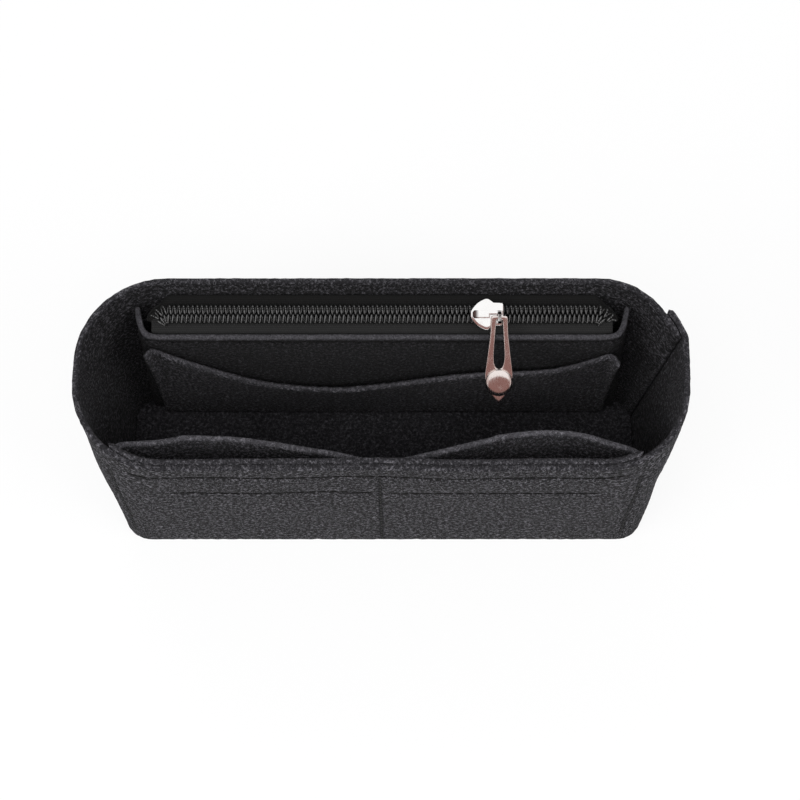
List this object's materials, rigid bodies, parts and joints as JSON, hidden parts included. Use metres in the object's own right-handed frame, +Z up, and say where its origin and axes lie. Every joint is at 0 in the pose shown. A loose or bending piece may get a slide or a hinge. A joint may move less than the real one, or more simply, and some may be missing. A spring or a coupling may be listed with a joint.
{
  "type": "purse organizer insert",
  "caption": "Small tapered felt tub that stands in a handbag, with divided front pockets and a zipped back pocket behind a slip pocket.",
  "frame": {"origin": "centre of the underside of the standing tub (bottom centre of the bounding box)", "axes": "+X to the right along the long side, +Y to the back wall that carries the zip, +Z up"},
  "size_m": [0.175, 0.0588, 0.085],
  "materials": {
    "outer_felt": "charcoal wool-look felt, matte, faintly speckled",
    "inner_felt": "dark charcoal felt, matte",
    "zip_tape": "black woven tape",
    "zip_coil": "black nylon coil, semi-gloss",
    "nickel": "polished nickel plate",
    "thread": "black polyester thread"
  },
  "bodies": {
    "tub": {"outer_wall": "outer_felt", "front_facing": "outer_felt", "base_panel": "inner_felt", "front_pocket_panel": "inner_felt", "zip_pocket_panel": "inner_felt", "slip_pocket_panel": "inner_felt", "zip_tape_front": "zip_tape", "zip_tape_back": "zip_tape", "zip_coil_front": "zip_coil", "zip_coil_back": "zip_coil", "front_upper_stitch": "thread", "front_lower_left_stitch": "thread", "front_lower_right_stitch": "thread", "front_centre_stitch": "thread", "front_left_stitch": "thread", "front_right_stitch": "thread", "back_left_stitch": "thread", "back_right_stitch": "thread", "lap_stitch": "thread", "back_zip_stitch": "thread", "zip_panel_stitch": "thread", "slip_left_stitch": "thread", "slip_right_stitch": "thread", "base_seam_stitch": "thread"},
    "slider": {"slider_body": "nickel", "slider_crown": "nickel"},
    "pull": {"pull_tab": "nickel", "pull_stud": "nickel"}
  },
  "joints": [
    {"name": "zip_slide", "type": "slide", "parent": "tub", "child": "slider", "axis": [1, 0, 0], "range_m": [-0.0875, 0.0265]},
    {"name": "pull_hinge", "type": "hinge", "parent": "slider", "child": "pull", "pos_m": [0.0338, 0.01822, 0.08145], "axis": [-1, 0, 0], "range_deg": [0, 135]}
  ]
}
